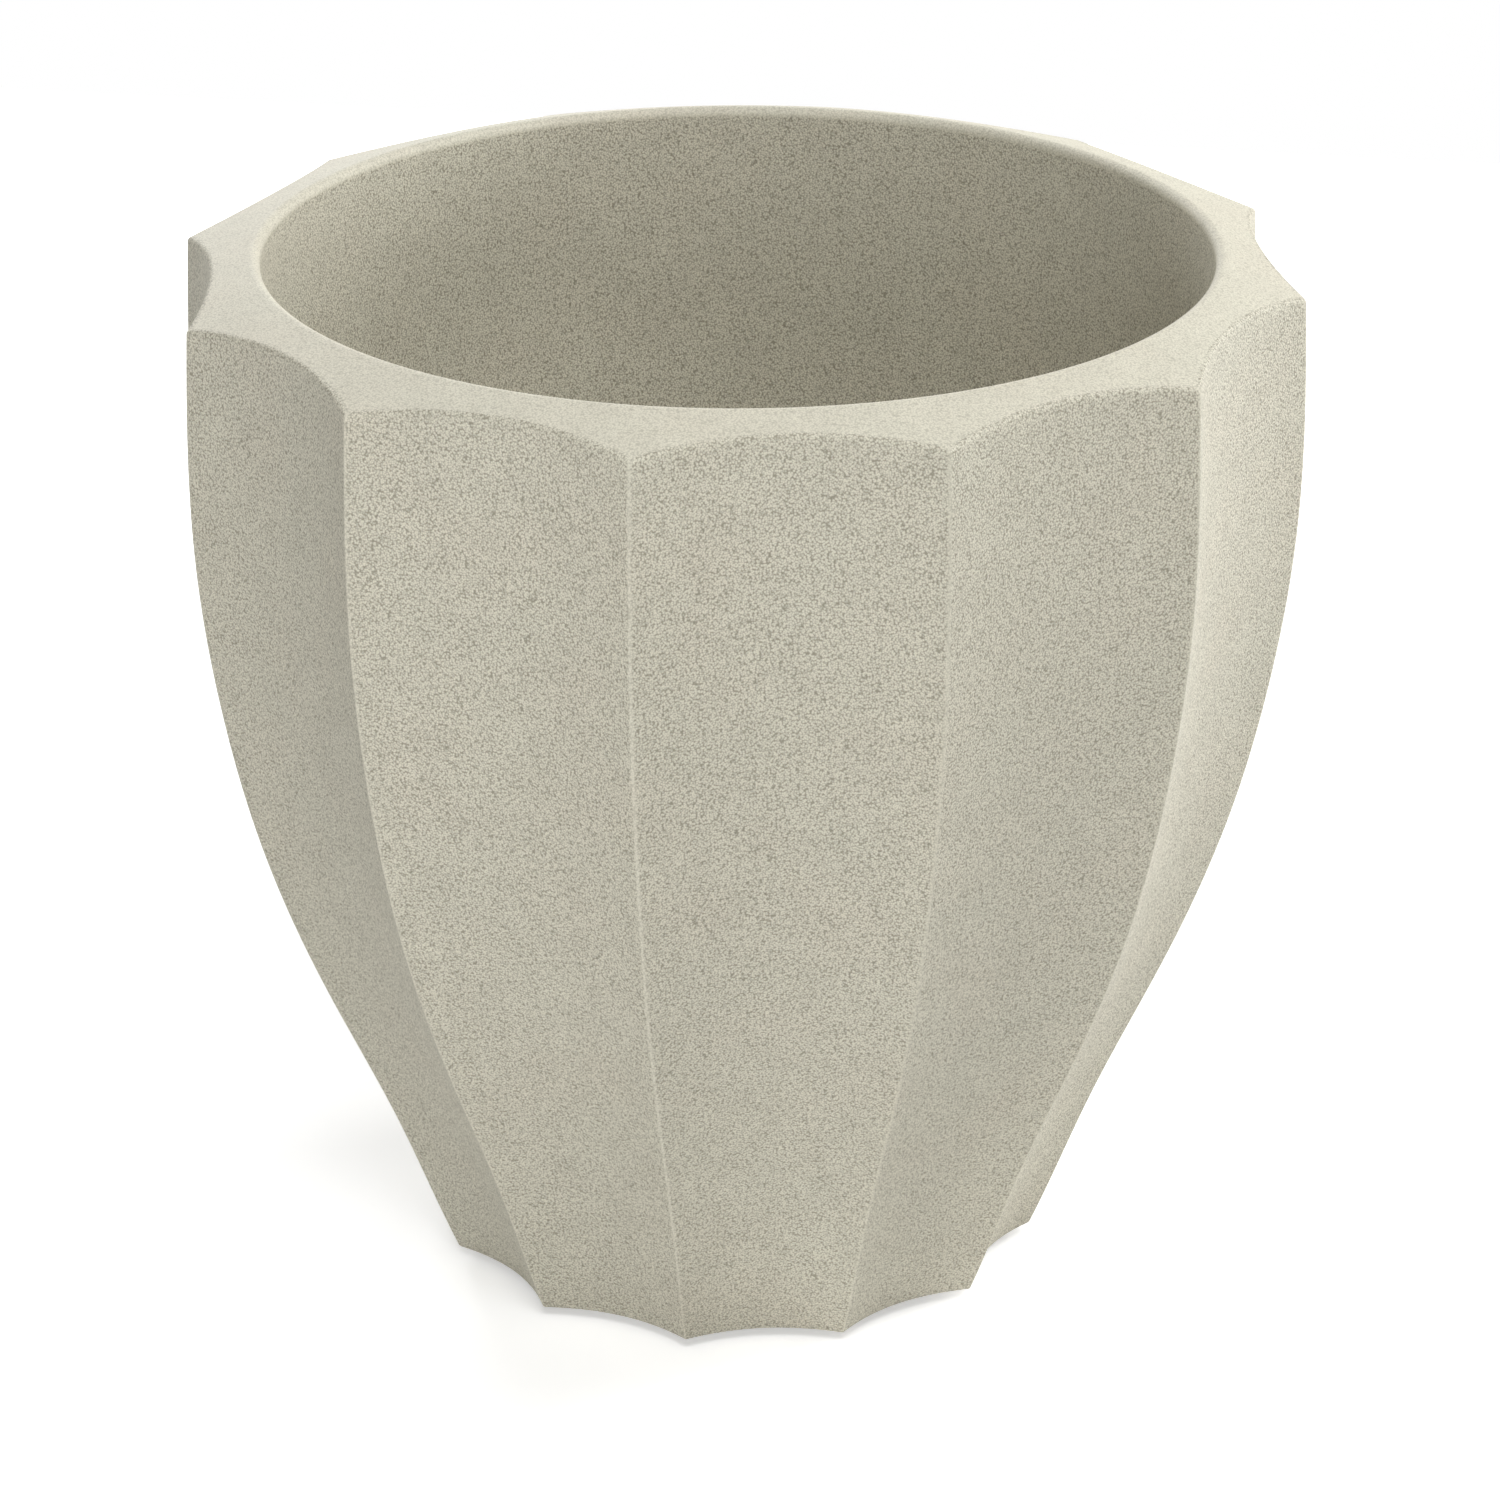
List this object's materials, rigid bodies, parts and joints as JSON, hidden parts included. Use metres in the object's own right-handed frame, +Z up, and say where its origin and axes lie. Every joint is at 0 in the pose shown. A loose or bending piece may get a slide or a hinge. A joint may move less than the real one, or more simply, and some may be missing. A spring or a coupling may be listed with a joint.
{
  "type": "floor planter",
  "caption": "Round cast-stone floor planter with an ogee body of concave flutes and crisp ridges, an outward-falling rim, a drain plug, a lift-out drain screen and rubber foot pads.",
  "frame": {"origin": "on the floor under the centre of the pot, level with the undersides of the foot pads", "axes": "+Z up along the pot's axis; a ridge lies on each of +X, -X, +Y and -Y"},
  "size_m": [0.4062, 0.4062, 0.385],
  "materials": {
    "cast_stone": "speckled cream cast stone, sandy outside, smoother rim and inside",
    "grey_plastic": "moulded dark grey plastic",
    "black_rubber": "matt black rubber"
  },
  "bodies": {
    "pot": {"pot_shell": "cast_stone", "drain_sleeve": "grey_plastic", "foot_pad_1": "black_rubber", "foot_pad_2": "black_rubber", "foot_pad_3": "black_rubber", "foot_pad_4": "black_rubber"},
    "screen": {"drain_screen": "grey_plastic"},
    "plug": {"drain_plug": "black_rubber"}
  },
  "joints": [
    {"name": "screen_lift", "type": "slide", "parent": "pot", "child": "screen", "axis": [0, 0, 1], "range_m": [0, 0.37]},
    {"name": "plug_pull", "type": "slide", "parent": "pot", "child": "plug", "axis": [0, 0, -1], "range_m": [0, 0.03]}
  ]
}
